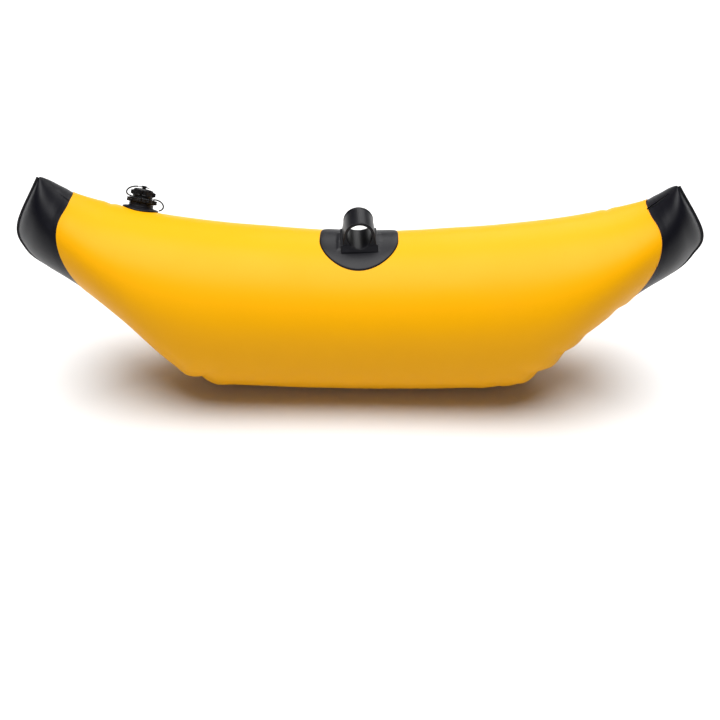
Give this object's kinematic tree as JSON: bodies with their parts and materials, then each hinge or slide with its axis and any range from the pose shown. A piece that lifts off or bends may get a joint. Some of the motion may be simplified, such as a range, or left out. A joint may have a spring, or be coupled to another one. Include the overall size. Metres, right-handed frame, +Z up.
{
  "type": "outrigger float",
  "caption": "Inflatable stabiliser float for a kayak: yellow welded air tube with upturned black ends, a screw-in inflation valve with tethered caps and a moulded socket for the cross arm.",
  "frame": {"origin": "under the middle of the float, at the level of the keel lip's lower edge", "axes": "+X along the float's length, away from the end with the valve; +Y along the arm socket's bore, to the side the valve leans to; +Z up"},
  "size_m": [0.932, 0.23, 0.3195],
  "materials": {
    "pvc_yellow": "satin coated fabric",
    "pvc_black": "satin coated fabric",
    "moulded_black": "soft moulded, satin",
    "valve_plastic": "moulded, satin",
    "gasket_rubber": "matt"
  },
  "bodies": {
    "float": {"hull_skin": "pvc_yellow", "left_tip_skin": "pvc_black", "right_tip_skin": "pvc_black", "socket_flange": "moulded_black", "arm_socket": "moulded_black", "valve_base": "moulded_black", "body_tether_strap": "valve_plastic"},
    "valve_carrier": {"body_tether_ring": "valve_plastic"},
    "valve_screw": {"valve_body": "valve_plastic", "body_gasket": "gasket_rubber", "flap_pin": "valve_plastic", "cap_tether_anchor": "valve_plastic", "cap_tether_strap": "valve_plastic"},
    "cap_carrier": {"cap_tether_ring": "valve_plastic"},
    "cap_screw": {"top_cap": "valve_plastic", "cap_gasket": "gasket_rubber"},
    "flap": {"check_flap": "gasket_rubber"}
  },
  "joints": [
    {"name": "valve_lift", "type": "slide", "parent": "float", "child": "valve_carrier", "axis": [0.1773, 0.5095, 0.842], "range_m": [0, 0.008], "deforming": ["body_tether_strap"]},
    {"name": "valve_turn", "type": "hinge", "parent": "valve_carrier", "child": "valve_screw", "pos_m": [-0.31, 0.057, 0.24258], "axis": [0.1773, 0.5095, 0.842], "range_deg": [0, 950]},
    {"name": "cap_lift", "type": "slide", "parent": "valve_screw", "child": "cap_carrier", "axis": [0.1773, 0.5095, 0.842], "range_m": [0, 0.009], "deforming": ["cap_tether_strap"]},
    {"name": "cap_turn", "type": "hinge", "parent": "cap_carrier", "child": "cap_screw", "pos_m": [-0.31, 0.057, 0.24258], "axis": [0.1773, 0.5095, 0.842], "range_deg": [0, 1060]},
    {"name": "flap_lift", "type": "slide", "parent": "valve_screw", "child": "flap", "axis": [-0.1773, -0.5095, -0.842], "range_m": [0, 0.0022], "stiffness_N_per_m": 40}
  ],
  "couplings": [
    {"joint": "valve_lift", "follows": "valve_turn", "m_per_rad": 0.00047746},
    {"joint": "cap_lift", "follows": "cap_turn", "m_per_rad": 0.00047746}
  ]
}
